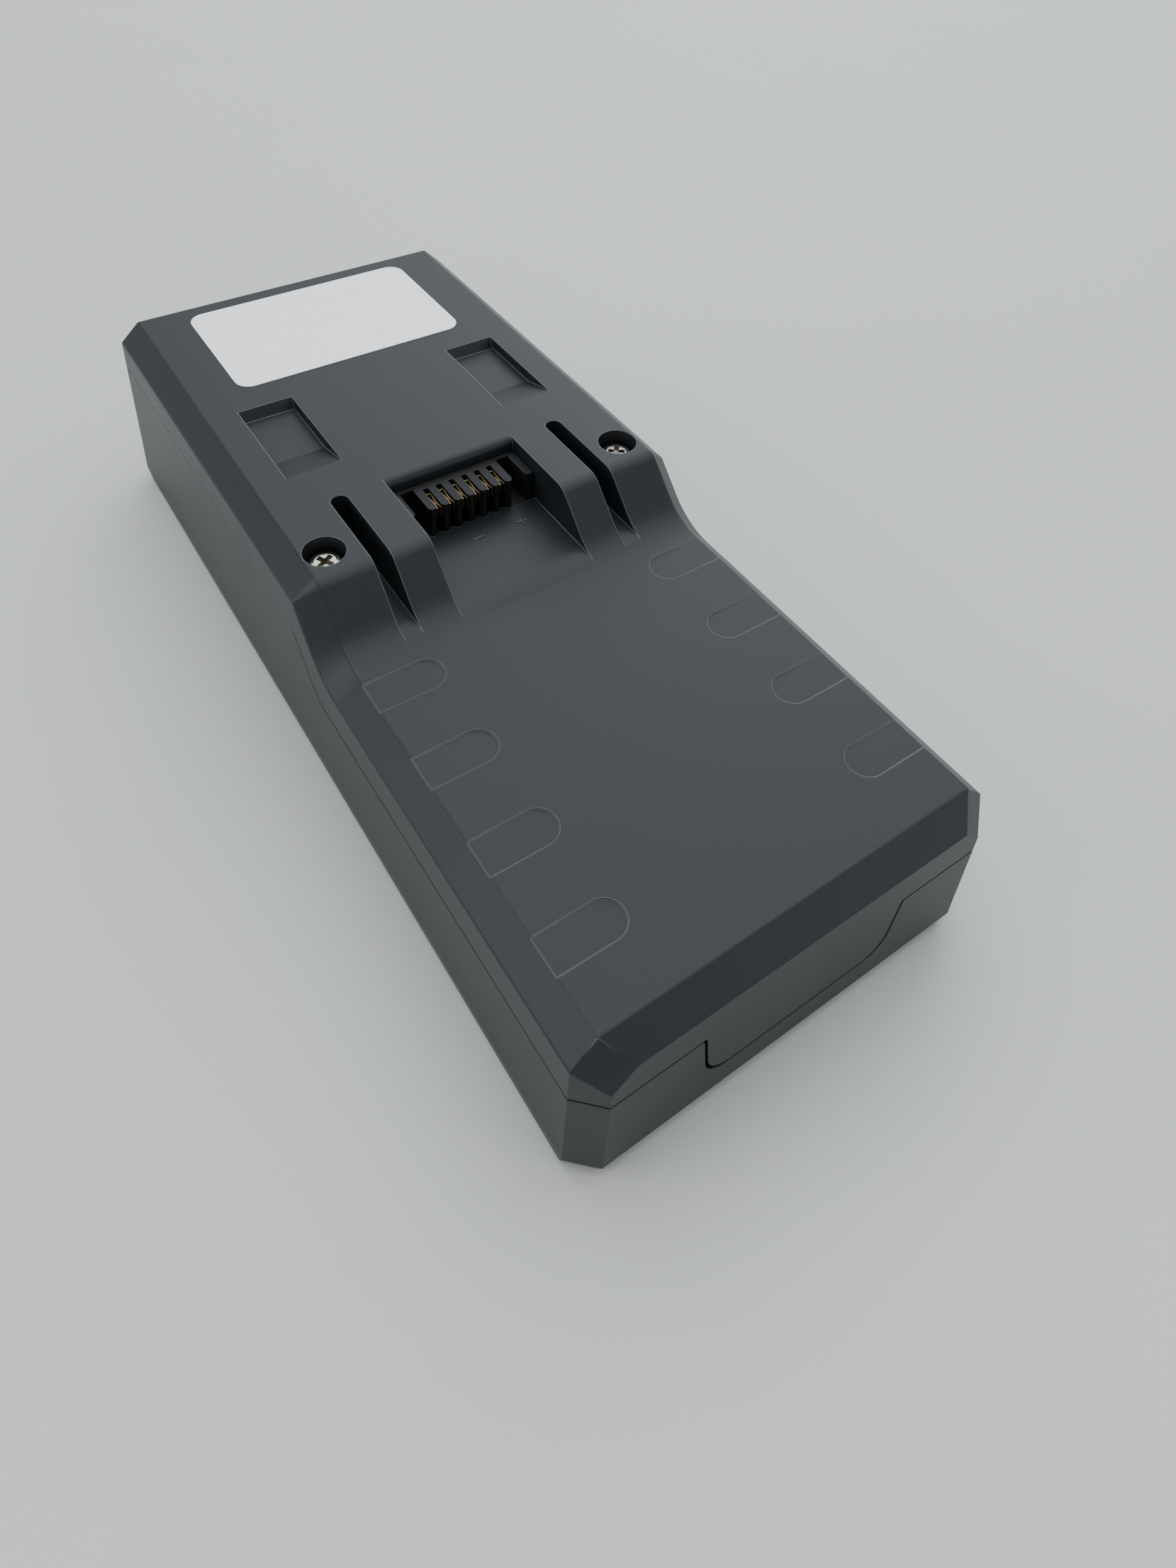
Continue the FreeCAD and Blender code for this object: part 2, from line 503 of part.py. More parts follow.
def chip(x, y, w, length, h, pins, lead):
    """Moulded body on the board with a row of feet along both long sides."""
    parts = [box(x - w / 2, x + w / 2, y - length / 2, y + length / 2, BOARD_TOP + 0.1, BOARD_TOP + h)]
    for i in range(pins):
        py = y + (i - (pins - 1) / 2) * length / pins
        parts.append(box(x - w / 2 - lead, x + w / 2 + lead, py - 0.2, py + 0.2, BOARD_TOP, BOARD_TOP + 0.3))
    return clean(joined(parts))


def make_transistors():
    pair = []
    y = at(TRANSISTOR_Y)
    for x in (-TRANSISTOR_X, TRANSISTOR_X):
        body = box(x - 3.3, x + 3.3, y, y + 6.0, BOARD_TOP, BOARD_TOP + 2.3)
        tab = box(x - 2.6, x + 2.6, y + 5.9, y + 7.4, BOARD_TOP, BOARD_TOP + 0.6)
        legs = [box(x + d - 0.4, x + d + 0.4, y - 2.6, y + 0.1, BOARD_TOP, BOARD_TOP + 0.6) for d in (-2.3, 2.3)]
        pair.append(clean(joined([body, tab] + legs)))
    return Part.makeCompound(pair)


def make_thermistor():
    """Bead that lies in the valley under the board, on two stiff legs."""
    x, r, y = CELL_PITCH / 2, 1.2, at(BOARD_START + 26.4)
    z = valley_z(r)
    bead = rod(x, y, z, r, 5.0, V(0, 1, 0))
    legs = [box(x + d - 0.3, x + d + 0.3, y + 0.2, y + 0.8, z, BOARD_Z) for d in (-0.6, 0.6)]
    return clean(joined([bead] + legs))


def make_screws():
    pair = []
    for sx in (-1, 1):
        x, y = sx * SCREW_X, at(SCREW_Y)
        head = rod(x, y, SEAT_Z, HEAD, HEAD_H / 2)
        head = head.fuse(Part.makeCone(HEAD, HEAD * 0.72, HEAD_H / 2, V(x, y, SEAT_Z + HEAD_H / 2)))
        slots = [box(x - 1.1, x + 1.1, y - 0.3, y + 0.3, SEAT_Z + 0.4, SEAT_Z + 3),
                 box(x - 0.3, x + 0.3, y - 1.1, y + 1.1, SEAT_Z + 0.4, SEAT_Z + 3)]
        shank = rod(x, y, SEAT_Z - SCREW_LEN + 1.5, SHANK, SCREW_LEN - 1.5)
        tip = Part.makeCone(0.3, SHANK, 1.5, V(x, y, SEAT_Z - SCREW_LEN))
        pair.append(clean(joined([head.cut(joined(slots)), shank, tip])))
    return Part.makeCompound(pair)


def make_label():
    x, y = LABEL_W / 2, at(LENGTH - LABEL_MARGIN)
    label = box(-x, x, y - LABEL_L, y, HIGH_TOP, HIGH_TOP + LABEL_THICK)
    return label.makeFillet(LABEL_ROUND, [e for e in label.Edges if e.BoundBox.ZLength > LABEL_THICK / 2])


def strips(width, y0, y1, z0, z1):
    return Part.makeCompound([box(x - width / 2, x + width / 2, at(y0), at(y1), z0, z1) for x in PITCH_X])


def make_tapes():
    tapes = strips(STRIP_W, NEAR_CELLS + STRIP_INSET, CELLS_END - STRIP_INSET, WALL, WALL + TAPE)
    return tapes.cut(box(-HALF, HALF, at(SCREW_Y) - 1, at(SCREW_Y) + 1, WALL, WALL + TAPE))


def make_end_foams():
    blocks = []
    low, high = CELL_TOP - END_FOAM_LOW, CELL_TOP - END_FOAM_HIGH
    for x in (-CELL_PITCH, CELL_PITCH):
        for y0, y1 in ((WALL, NEAR_CELLS - LINK - RING), (CELLS_END + LINK + RING, LENGTH - WALL)):
            blocks.append(box(x - END_FOAM_W / 2, x + END_FOAM_W / 2, at(y0), at(y1), low, high))
    return Part.makeCompound(blocks)


def end_paper(y):
    return box(-HALF + WALL + 1, HALF - WALL - 1, y, y + RING, WALL + 0.3, CELL_TOP - 0.2)


def make_middle_wires():
    """Sense wires from the folded links between the banks up to the board."""
    z, y0, y1 = CELL_TOP + SENSE_R + 0.08, at(FAR_CELLS - BANK_GAP / 2), at(BOARD_START + 3.4)
    return Part.makeCompound([wire_run([(x, y0, CELL_TOP - 0.9), (x, y0, z), (x, y1, z), (x, y1, BOARD_Z)],
                                       SENSE_R, SENSE_R + 0.05) for x in PITCH_X])


def build():
    near_end, far_end = at(NEAR_CELLS), at(CELLS_END)
    valley = CELL_PITCH / 2
    left, mid, right = PITCH_X
    nodes = {
        "bottom_case": make_bottom_case(),
        "top_cover": make_top_cover(),
        "terminal_block": make_terminal_block(),
        "insulating_rings": make_rings(),
        "near_end_link": end_link(left, mid, near_end - LINK),
        "far_end_link": end_link(mid, right, far_end),
        "positive_pole_tab": pole_tab(right, -1, near_end - LINK),
        "negative_pole_tab": pole_tab(left, 1, far_end),
        "near_end_paper": end_paper(near_end - LINK - RING),
        "far_end_paper": end_paper(far_end + LINK),
        "positive_lead": valley_wire(valley, near_end, at(BOARD_START + LEAD_RISE), LEAD_R),
        "negative_lead": valley_wire(-valley, far_end, at(BOARD_END - LEAD_RISE / 2), LEAD_R),
        "near_sense_wire": valley_wire(-valley, near_end, at(BOARD_START + SENSE_RISE), SENSE_R),
        "far_sense_wire": valley_wire(valley, far_end, at(BOARD_END - 2 * SENSE_RISE), SENSE_R),
        "middle_sense_wires": make_middle_wires(),
        "protection_board": make_board(),
        "power_transistors": make_transistors(),
        "control_chip": chip(0.0, at(CHIP_Y), 3.9, 9.9, 1.6, 8, 1.0),
        "shunt_resistor": chip(0.0, at(TRANSISTOR_Y + 2.0), 5.2, 3.2, 0.7, 1, 0.6),
        "board_fuse": chip(-TRANSISTOR_X + 1.0, at(CHIP_Y + 4.0), 4.0, 9.0, 2.4, 1, 0.6),
        "thermistor": make_thermistor(),
        "case_screws": make_screws(),
        "blank_label": make_label(),
        "cell_tapes": make_tapes(),
        "cover_foam_strips": strips(STRIP_W + 1, NEAR_CELLS + 7, STEP_FOOT - 7.5, CELL_TOP, LOW_TOP - WALL),
        "board_foam_strips": strips(STRIP_W + 1, BOARD_START + 13.4, BOARD_END - 3.6, CELL_TOP, BOARD_Z),
        "end_foam_blocks": make_end_foams(),
    }
    for i, x in enumerate(PITCH_X):
        towards = (-1, 1, -1)[i]
        nodes["cell_%d" % (i + 1)] = make_cell(x, NEAR_CELLS, towards)
        nodes["cell_%d" % (i + 4)] = make_cell(x, FAR_CELLS, towards)
        nodes["middle_link_%d" % (i + 1)] = mid_link(x)
    for i in range(PIN_COUNT):
        nodes["contact_%d" % (i + 1)] = make_contact(i)
    for name, shape in nodes.items():
        shape.exportStep("parts/%s.step" % name)
    print(len(nodes), "nodes written")


build()
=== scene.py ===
import bpy
import bmesh
from math import pi, radians
from mathutils import Matrix, Vector


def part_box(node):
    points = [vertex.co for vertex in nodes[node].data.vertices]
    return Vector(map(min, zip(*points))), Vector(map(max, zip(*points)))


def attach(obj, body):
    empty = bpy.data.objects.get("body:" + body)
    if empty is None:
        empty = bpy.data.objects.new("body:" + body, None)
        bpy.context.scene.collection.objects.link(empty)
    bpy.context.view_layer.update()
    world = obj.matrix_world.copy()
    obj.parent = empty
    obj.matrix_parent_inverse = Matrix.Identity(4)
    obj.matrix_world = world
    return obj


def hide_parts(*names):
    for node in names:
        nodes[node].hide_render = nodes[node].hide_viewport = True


# Slide-in battery pack of a cordless vacuum cleaner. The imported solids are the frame,
# in metres: X across, Y from the low near end to the labelled far end, Z up.
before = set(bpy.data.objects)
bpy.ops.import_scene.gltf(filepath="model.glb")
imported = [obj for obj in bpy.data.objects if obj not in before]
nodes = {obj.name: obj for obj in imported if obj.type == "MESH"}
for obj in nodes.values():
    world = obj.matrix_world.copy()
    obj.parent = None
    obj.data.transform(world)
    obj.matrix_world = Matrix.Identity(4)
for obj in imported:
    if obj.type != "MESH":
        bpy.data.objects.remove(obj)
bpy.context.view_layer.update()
MM = 0.001


# Bottom case: the deep half of the shell, with the cradle ribs and the screw bosses.
# Charcoal ABS, injection moulded in a spark-eroded tool, so its skin has a fine even grain
# with a soft sheen. Its upper edges carry a painted highlight: a paler colour, with lower roughness.
def paint(hex_colour):
    """sRGB hex value turned to the linear colour that a shader socket takes."""
    channels = [int(hex_colour[i:i + 2], 16) / 255 for i in (1, 3, 5)]
    linear = [c / 12.92 if c <= 0.04045 else ((c + 0.055) / 1.055) ** 2.4 for c in channels]
    return (*linear, 1.0)


def add(tree, kind, settings=None, values=None, links=None):
    """A shader node with its settings, its socket values and what feeds its sockets."""
    node = tree.nodes.new("ShaderNode" + kind)
    for name, value in (settings or {}).items():
        setattr(node, name, value)
    for name, value in (values or {}).items():
        node.inputs[name].default_value = value
    for name, source in (links or {}).items():
        tree.links.new(source, node.inputs[name])
    return node


def new_material(name):
    """Empty node material: its tree, its shader and the Object coordinates."""
    material = bpy.data.materials.new(name)
    material.use_nodes = True
    tree = material.node_tree
    tree.nodes.clear()
    shader = add(tree, "BsdfPrincipled")
    add(tree, "OutputMaterial", links={"Surface": shader.outputs["BSDF"]})
    coords = add(tree, "TexCoord").outputs["Object"]
    return material, tree, shader, coords


def per_mm(size):
    """Texture scale that makes one cell of a noise or Voronoi pattern this many millimetres."""
    return 1 / (size * MM)


# Painted highlight on the upper edges of moulded plastic: its paler shade, its roughness, how strongly it
# shows, and the height where it starts and fades in.
EDGE_HIGHLIGHT_SHADE, EDGE_HIGHLIGHT_ROUGHNESS, EDGE_HIGHLIGHT_SHARE = "#5c6268", 0.22, 0.9
EDGE_HIGHLIGHT_ABOVE, EDGE_HIGHLIGHT_FADE = 23.5, 1
STILL_FLAT, FULLY_TURNED = 0.999, 0.95


def moulded(name, dark, light, rough, grain, depth, cloud=9.0, specular=0.5, edge=0.0):
    """Moulded plastic: a drift of shade, uneven sheen and the fine grain of the tool's skin.

    With an edge radius in millimetres, edges shade as rounded by it, and those above a set height
    get a painted highlight, paler and smoother. Below it they don't, which keeps the low half's seam dark.
    """
    material, tree, shader, coords = new_material(name)
    drift = add(tree, "TexNoise", values={"Scale": per_mm(cloud), "Detail": 3.0}, links={"Vector": coords})
    shade = add(tree, "Mix", {"data_type": "RGBA"}, links={"Factor": drift.outputs["Fac"]})
    shade.inputs["A"].default_value = paint(dark)
    shade.inputs["B"].default_value = paint(light)
    sheen = add(tree, "MapRange", values={"To Min": rough[0], "To Max": rough[1]},
                links={"Value": drift.outputs["Fac"]})
    skin = add(tree, "TexNoise", values={"Scale": per_mm(grain), "Detail": 2.0, "Roughness": 0.6},
               links={"Vector": coords})
    bump = add(tree, "Bump", values={"Strength": 0.35, "Distance": depth * MM},
               links={"Height": skin.outputs["Fac"]})
    colour, gloss = shade.outputs["Result"], sheen.outputs["Result"]
    if edge:
        rounded = add(tree, "Bevel", {"samples": 6}, {"Radius": edge * MM})
        tree.links.new(rounded.outputs["Normal"], bump.inputs["Normal"])
        flat = add(tree, "NewGeometry").outputs["Normal"]
        turned = add(tree, "VectorMath", {"operation": "DOT_PRODUCT"})
        tree.links.new(flat, turned.inputs[0])
        tree.links.new(rounded.outputs["Normal"], turned.inputs[1])
        height = add(tree, "SeparateXYZ", links={"Vector": coords})
        reach = add(tree, "MapRange", links={"Value": height.outputs["Z"]},
                    values={"From Min": EDGE_HIGHLIGHT_ABOVE * MM, "From Max": (EDGE_HIGHLIGHT_ABOVE + EDGE_HIGHLIGHT_FADE) * MM,
                            "To Max": EDGE_HIGHLIGHT_SHARE})
        edge_highlight = add(tree, "MapRange", values={"From Min": STILL_FLAT, "From Max": FULLY_TURNED},
                     links={"Value": turned.outputs["Value"], "To Max": reach.outputs["Result"]})
        # Painted highlight: the edges turn towards a paler shade.
        lit = add(tree, "Mix", {"data_type": "RGBA"}, links={"Factor": edge_highlight.outputs["Result"], "A": colour})
        lit.inputs["B"].default_value = paint(EDGE_HIGHLIGHT_SHADE)
        smooth = add(tree, "Mix", values={"B": EDGE_HIGHLIGHT_ROUGHNESS},
                     links={"Factor": edge_highlight.outputs["Result"], "A": gloss})
        colour, gloss = lit.outputs["Result"], smooth.outputs["Result"]
    tree.links.new(colour, shader.inputs["Base Color"])
    tree.links.new(gloss, shader.inputs["Roughness"])
    tree.links.new(bump.outputs["Normal"], shader.inputs["Normal"])
    shader.inputs["Specular IOR Level"].default_value = specular
    return material


def finish_nodes(material, *names):
    """These CAD nodes show this material."""
    for name in names:
        nodes[name].data.materials.clear()
        nodes[name].data.materials.append(material)


charcoal_abs = moulded("charcoal_abs_spark_eroded", "#1a1c22", "#1e2323", (0.38, 0.46), 0.22, 0.02,
                       cloud=18.0, specular=0.33, edge=0.25)
finish_nodes(charcoal_abs, "bottom_case")

# Cell tapes and foams: strips of black EVA foam with an adhesive back. They hold the cells
# on the cradle and under the cover, and stay dull because their skin is full of open cells.
eva_foam, tree, shader, coords = new_material("black_eva_foam")
pores = add(tree, "TexVoronoi", values={"Scale": per_mm(0.45)}, links={"Vector": coords})
pits = add(tree, "Bump", values={"Strength": 0.6, "Distance": 0.1 * MM},
           links={"Height": pores.outputs["Distance"]})
# Painted shade in the pores: their pits darker, their rims lighter.
pore_shade = add(tree, "Mix", {"data_type": "RGBA"}, links={"Factor": pores.outputs["Distance"]})
pore_shade.inputs["A"].default_value = paint("#161616")
pore_shade.inputs["B"].default_value = paint("#2a2a2a")
tree.links.new(pore_shade.outputs["Result"], shader.inputs["Base Color"])
tree.links.new(pits.outputs["Normal"], shader.inputs["Normal"])
shader.inputs["Roughness"].default_value = 0.9
finish_nodes(eva_foam, "cell_tapes", "cover_foam_strips", "board_foam_strips", "end_foam_blocks")

# Cells: six lithium-ion cells in heat-shrunk PVC sleeves. The sleeve is thin and glossy,
# with faint shrink ripples round the can.
pvc_sleeve, tree, shader, coords = new_material("blue_pvc_shrink_sleeve")
ripple = add(tree, "TexNoise", values={"Scale": per_mm(6.0), "Detail": 2.0, "Distortion": 0.4},
             links={"Vector": coords})
wrinkle = add(tree, "Bump", values={"Strength": 0.2, "Distance": 0.15 * MM},
              links={"Height": ripple.outputs["Fac"]})
tint = add(tree, "Mix", {"data_type": "RGBA"}, links={"Factor": ripple.outputs["Fac"]})
tint.inputs["A"].default_value = paint("#1f5c98")
tint.inputs["B"].default_value = paint("#2b6aa6")
tree.links.new(tint.outputs["Result"], shader.inputs["Base Color"])
tree.links.new(wrinkle.outputs["Normal"], shader.inputs["Normal"])
shader.inputs["Roughness"].default_value = 0.25
finish_nodes(pvc_sleeve, *["cell_%d" % i for i in range(1, 7)])


# Insulating rings and end papers: pressed board punched out to go round the positive caps,
# and fish paper over the links at both ends. Both are vulcanised fibre with a felted skin.
def fibre_board(name, dark, light):
    """Vulcanised fibre: short felted fibres in two close shades."""
    material, tree, shader, coords = new_material(name)
    stretch = add(tree, "Mapping", values={"Scale": (1.0, 1.0, 3.5)}, links={"Vector": coords})
    felt = add(tree, "TexNoise", values={"Scale": per_mm(1.1), "Detail": 5.0},
               links={"Vector": stretch.outputs["Vector"]})
    shade = add(tree, "Mix", {"data_type": "RGBA"}, links={"Factor": felt.outputs["Fac"]})
    shade.inputs["A"].default_value = paint(dark)
    shade.inputs["B"].default_value = paint(light)
    nap = add(tree, "Bump", values={"Strength": 0.3, "Distance": 0.04 * MM},
              links={"Height": felt.outputs["Fac"]})
    tree.links.new(shade.outputs["Result"], shader.inputs["Base Color"])
    tree.links.new(nap.outputs["Normal"], shader.inputs["Normal"])
    shader.inputs["Roughness"].default_value = 0.8
    return material


finish_nodes(fibre_board("white_ring_board", "#c4bfae", "#dcd8ca"), "insulating_rings")
finish_nodes(fibre_board("green_fish_paper", "#2f4a35", "#3d5c42"), "near_end_paper", "far_end_paper")


# Links and pole tabs: pure nickel strip 0.2 mm thick, rolled, so its grain runs along the
# strip, and spot welded across the cell ends.
def rolled_metal(name, dark, light, rough, grain, stretch):
    """Metal with a grain that runs one way, from rolling or brushing."""
    material, tree, shader, coords = new_material(name)
    run = add(tree, "Mapping", values={"Scale": stretch}, links={"Vector": coords})
    streaks = add(tree, "TexNoise", values={"Scale": per_mm(grain), "Detail": 3.0},
                  links={"Vector": run.outputs["Vector"]})
    shade = add(tree, "Mix", {"data_type": "RGBA"}, links={"Factor": streaks.outputs["Fac"]})
    shade.inputs["A"].default_value = paint(dark)
    shade.inputs["B"].default_value = paint(light)
    polish = add(tree, "MapRange", values={"To Min": rough[0], "To Max": rough[1]},
                 links={"Value": streaks.outputs["Fac"]})
    lines = add(tree, "Bump", values={"Strength": 0.15, "Distance": 0.01 * MM},
                links={"Height": streaks.outputs["Fac"]})
    tree.links.new(shade.outputs["Result"], shader.inputs["Base Color"])
    tree.links.new(polish.outputs["Result"], shader.inputs["Roughness"])
    tree.links.new(lines.outputs["Normal"], shader.inputs["Normal"])
    shader.inputs["Metallic"].default_value = 1.0
    return material


nickel_strip = rolled_metal("rolled_nickel_strip", "#b9b4a8", "#cfcabf", (0.3, 0.42), 0.3, (0.1, 1.0, 1.0))
finish_nodes(nickel_strip, "middle_link_1", "middle_link_2", "middle_link_3", "near_end_link", "far_end_link",
             "positive_pole_tab", "negative_pole_tab")


# Leads, sense wires and thermistor: tinned copper in silicone rubber, and an epoxy bead.
# Silicone has a soft satin skin that picks up a little dust.
def coated(name, base, dusty, rough):
    """Dipped or extruded coat with a thin, uneven film of dust."""
    material, tree, shader, coords = new_material(name)
    film = add(tree, "TexNoise", values={"Scale": per_mm(1.5), "Detail": 4.0}, links={"Vector": coords})
    shade = add(tree, "Mix", {"data_type": "RGBA"}, links={"Factor": film.outputs["Fac"]})
    shade.inputs["A"].default_value = paint(base)
    shade.inputs["B"].default_value = paint(dusty)
    gloss = add(tree, "MapRange", values={"To Min": rough, "To Max": rough + 0.12},
                links={"Value": film.outputs["Fac"]})
    tree.links.new(shade.outputs["Result"], shader.inputs["Base Color"])
    tree.links.new(gloss.outputs["Result"], shader.inputs["Roughness"])
    return material


finish_nodes(coated("red_silicone", "#a81410", "#b32a22", 0.45), "positive_lead")
finish_nodes(coated("black_silicone", "#151515", "#232323", 0.45), "negative_lead")
finish_nodes(coated("yellow_silicone", "#c9b21e", "#cdbb45", 0.45),
             "near_sense_wire", "far_sense_wire", "middle_sense_wires")
finish_nodes(coated("black_epoxy", "#101010", "#191919", 0.2), "thermistor")

# Protection board: glass-epoxy laminate under a green solder mask. The copper below the
# mask shows as slightly lighter, raised areas.
solder_mask, tree, shader, coords = new_material("green_solder_mask")
copper = add(tree, "TexVoronoi", {"distance": "CHEBYCHEV"}, {"Scale": per_mm(4.5), "Randomness": 0.8},
             {"Vector": coords})
tracks = add(tree, "MapRange", values={"From Min": 0.3, "From Max": 0.34},
             links={"Value": copper.outputs["Distance"]})
mask_shade = add(tree, "Mix", {"data_type": "RGBA"}, links={"Factor": tracks.outputs["Result"]})
mask_shade.inputs["A"].default_value = paint("#1d6a35")
mask_shade.inputs["B"].default_value = paint("#12512a")
relief = add(tree, "Bump", {"invert": True}, {"Strength": 0.5, "Distance": 0.035 * MM},
             {"Height": tracks.outputs["Result"]})
tree.links.new(mask_shade.outputs["Result"], shader.inputs["Base Color"])
tree.links.new(relief.outputs["Normal"], shader.inputs["Normal"])
shader.inputs["Roughness"].default_value = 0.3
finish_nodes(solder_mask, "protection_board")

# Parts on the board: transistors and a chip in transfer-moulded epoxy, a metal-strip
# resistor and a ceramic fuse, all soldered on. The resistor is tinned and the fuse glazed.
finish_nodes(moulded("moulded_epoxy", "#1b1b1c", "#222224", (0.5, 0.6), 0.08, 0.01, 2.0),
             "power_transistors", "control_chip")
finish_nodes(rolled_metal("tinned_resistor_strip", "#8c8c8a", "#a2a2a0", (0.35, 0.5), 0.2, (1.0, 0.1, 1.0)),
             "shunt_resistor")
finish_nodes(coated("glazed_fuse_ceramic", "#d8d2c4", "#cdc6b6", 0.35), "board_fuse")

# Terminal block: black glass-filled nylon, moulded with thin fins between the blade slots.
# The short fibres leave it a little greyer and rougher than plain nylon.
black_nylon = moulded("black_filled_nylon", "#121314", "#191a1b", (0.42, 0.54), 0.14, 0.015,
                      cloud=3.0, specular=0.25)
finish_nodes(black_nylon, "terminal_block")

# Contacts: phosphor bronze forks with a thin gold plate, stamped, bent and soldered to the
# board. Their gold is painted well below new gold as painted shade, since deep in their slots only dim lines
# show.
gold_plate = rolled_metal("gold_plated_bronze", "#6e5c3c", "#857352", (0.28, 0.4), 0.2, (1.0, 1.0, 0.15))
finish_nodes(gold_plate, *["contact_%d" % i for i in range(1, 7)])

# Top cover: the stepped half of the shell, moulded in the same ABS as the case and
# held to it by two screws and four hooks.
finish_nodes(charcoal_abs, "top_cover")


# Polarity marks: a plus and a minus moulded on the floor of the terminal bay, in front of
# the terminals they belong to. They are part of the cover, cut into its mould by a small
# round cutter, so their strokes are narrow, low and soft at the edges.
def settled(mesh, name, material):
    """A finished bmesh as a piece of the pack."""
    data = bpy.data.meshes.new(name)
    mesh.to_mesh(data)
    mesh.free()
    data.materials.append(material)
    piece = bpy.data.objects.new(name, data)
    bpy.context.scene.collection.objects.link(piece)
    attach(piece, "root")
    return piece


MARK_LENGTH, MARK_STROKE, MARK_RISE, MARK_ROOT, MARK_SOFT = 1.8, 0.36, 0.16, 0.05, 0.07
BAY_FLOOR, MARKS_Y, PLUS_X, MINUS_X = 26.0, -0.9, 6.3, -1.2
marks = bmesh.new()
for x, has_upright in ((PLUS_X, True), (MINUS_X, False)):
    core = bmesh.ops.create_grid(marks, x_segments=1, y_segments=1, size=MARK_STROKE / 2)["verts"]
    bmesh.ops.translate(marks, verts=core, vec=(x, MARKS_Y, BAY_FLOOR - MARK_ROOT))
    face = core[0].link_faces[0]
    middle = face.calc_center_median()
    sides = list(face.edges)
    for side in sides:
        way = (side.verts[0].co + side.verts[1].co) / 2 - middle
        if abs(way.x) < abs(way.y) and not has_upright:
            continue
        tips = bmesh.ops.extrude_edge_only(marks, edges=[side])["geom"]
        reach = way.normalized() * (MARK_LENGTH - MARK_STROKE) / 2
        bmesh.ops.translate(marks, verts=[v for v in tips if isinstance(v, bmesh.types.BMVert)], vec=reach)
base = list(marks.faces)
raised = bmesh.ops.extrude_face_region(marks, geom=base, use_keep_orig=True)["geom"]
tops = [v for v in raised if isinstance(v, bmesh.types.BMVert)]
bmesh.ops.translate(marks, verts=tops, vec=(0, 0, MARK_ROOT + MARK_RISE))
bmesh.ops.recalc_face_normals(marks, faces=marks.faces)
rims = [e for e in marks.edges if min(v.co.z for v in e.verts) > BAY_FLOOR and e.calc_face_angle(0) >= 1.0]
bmesh.ops.bevel(marks, geom=rims, offset=MARK_SOFT, segments=2, profile=0.5, affect="EDGES", material=-1)
bmesh.ops.scale(marks, verts=marks.verts, vec=(MM, MM, MM))
settled(marks, "polarity_marks", charcoal_abs)

# Case screws: nickel-plated steel, cold headed, with a rolled thread-forming thread and a
# punched cross recess. The heads sit in their wells, below the deck, a little wider than
# the solids' heads.
SOLID_HEAD_R = 2.25
HEAD_R, HEAD_H, SHANK_R, TIP_H = 2.45, 1.5, 0.9, 1.5
THREAD_R, THREAD_PITCH, THREAD_ROOT, THREAD_FOOT = 1.1, 0.9, 0.1, 0.3
THREAD_STEPS, THREAD_SHORT = 24, 0.6
RECESS_R, RECESS_DEPTH, WING, WING_TAPER = 1.95, 1.25, 0.95, (0.34, 0.7, 1)
LEFT_TURN, RIGHT_TURN = 0.5, 0.95
screw_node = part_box("case_screws")
SCREW_TIP, SCREW_TOP = screw_node[0][2] / MM, screw_node[1][2] / MM
SCREW_X, SCREW_Y = screw_node[1][0] / MM - SOLID_HEAD_R, (screw_node[0][1] + screw_node[1][1]) / 2 / MM
outline = [(0, SCREW_TOP - 0.05), (1.5, SCREW_TOP), (2.05, SCREW_TOP - 0.1), (2.34, SCREW_TOP - 0.34),
           (HEAD_R, SCREW_TOP - 0.7), (HEAD_R, SCREW_TOP - HEAD_H + 0.1),
           (HEAD_R - 0.1, SCREW_TOP - HEAD_H), (SHANK_R, SCREW_TOP - HEAD_H),
           (SHANK_R, SCREW_TIP + TIP_H), (0, SCREW_TIP)]
blank = bmesh.new()
points = [blank.verts.new((r, 0, z)) for r, z in outline]
lines = [blank.edges.new(pair) for pair in zip(points, points[1:])]
bmesh.ops.spin(blank, geom=points + lines, cent=(0, 0, 0), axis=(0, 0, 1), angle=2 * pi, steps=48,
               use_merge=True)
bmesh.ops.remove_doubles(blank, verts=blank.verts, dist=0.001)
bmesh.ops.recalc_face_normals(blank, faces=blank.faces)


def recess_wing(turned_by):
    """Tapered bar that punches two opposite wings of the cross."""
    wing = bmesh.new()
    corners = bmesh.ops.create_cube(wing, size=1)["verts"]
    bmesh.ops.scale(wing, verts=corners, vec=(2 * RECESS_R, WING, 2 * RECESS_DEPTH))
    low = [v for v in corners if v.co.z < 0]
    bmesh.ops.scale(wing, verts=low, vec=WING_TAPER)
    bmesh.ops.rotate(wing, verts=corners, cent=(0, 0, 0), matrix=Matrix.Rotation(turned_by, 3, "Z"))
    bmesh.ops.translate(wing, verts=corners, vec=(0, 0, SCREW_TOP))
    return wing


def plain_object(mesh, name):
    """A bmesh as an object that only helps to cut another and is deleted afterwards."""
    data = bpy.data.meshes.new(name)
    mesh.to_mesh(data)
    mesh.free()
    helper = bpy.data.objects.new(name, data)
    bpy.context.scene.collection.objects.link(helper)
    return helper


